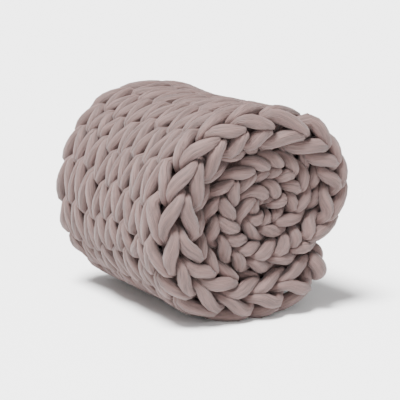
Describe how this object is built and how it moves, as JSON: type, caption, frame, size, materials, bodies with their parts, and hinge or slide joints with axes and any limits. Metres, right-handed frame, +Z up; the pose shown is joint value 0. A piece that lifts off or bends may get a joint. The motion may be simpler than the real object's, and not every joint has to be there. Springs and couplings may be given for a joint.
{
  "type": "rolled chunky-knit weighted blanket",
  "caption": "Weighted blanket hand-knit from fat stuffed jersey-tube yarn, folded in half and rolled up, lying on its side with its free end low at one side.",
  "frame": {"origin": "centre of the bounding box's footprint, on the floor", "axes": "+Z up, X along the roll's axis, +Y towards the side where the free end lies"},
  "size_m": [0.4958, 0.4762, 0.4401],
  "materials": {
    "jersey_yarn": "matte"
  },
  "bodies": {
    "root": {"knitted_blanket_roll": "jersey_yarn"}
  },
  "joints": []
}
